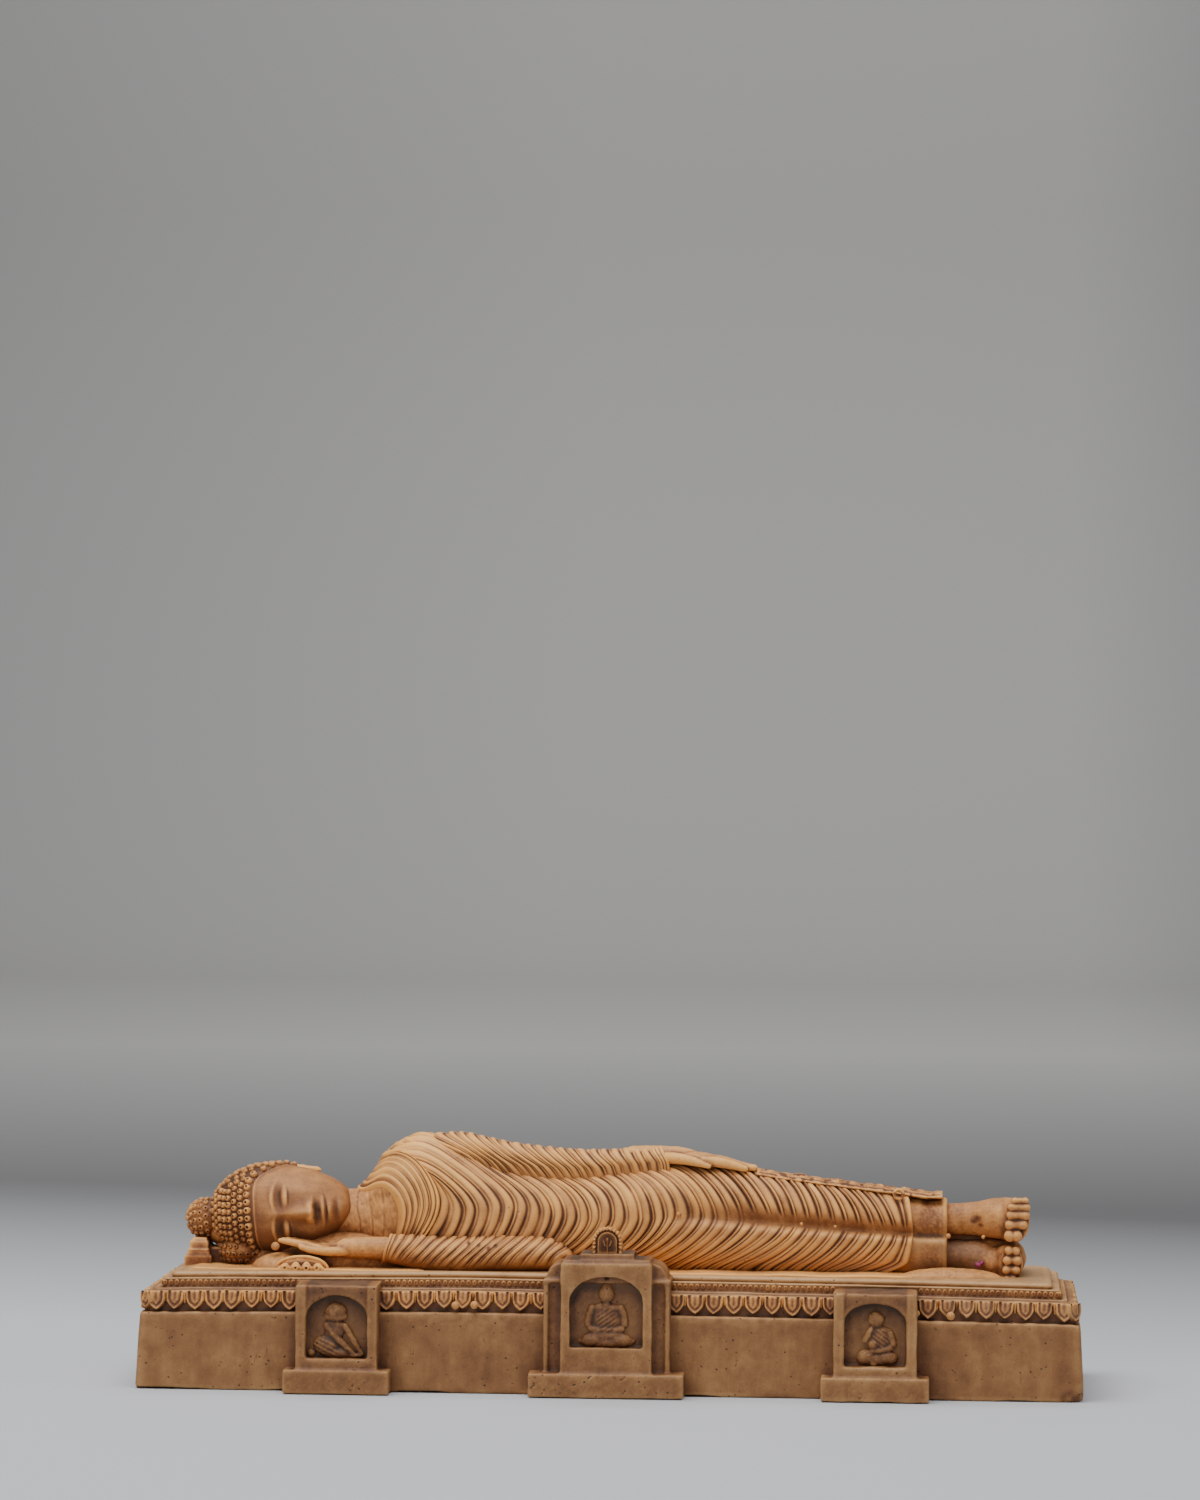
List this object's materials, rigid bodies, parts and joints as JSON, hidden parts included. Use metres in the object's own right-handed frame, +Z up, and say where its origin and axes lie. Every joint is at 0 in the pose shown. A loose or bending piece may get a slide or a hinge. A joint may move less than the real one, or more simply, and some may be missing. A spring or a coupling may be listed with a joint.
{
  "type": "reclining buddha figure",
  "caption": "Robed figure lying on its right side with a hand under its cheek, on a bed and long plinth with petal bands and arched relief shrines, cast in one piece.",
  "frame": {"origin": "middle of the underside of the whole casting, steps of the shrines included", "axes": "+X from the head towards the feet along the plinth, +Y from the front to the back, +Z up; the figure and the shrines face -Y"},
  "size_m": [0.27, 0.0804, 0.0719],
  "materials": {
    "cast_resin": "tan cast resin with a matt surface, rubbed pale on its ridges, with brown wash left in the grooves"
  },
  "bodies": {
    "root": {"reclining_buddha_figure": "cast_resin"}
  },
  "joints": []
}
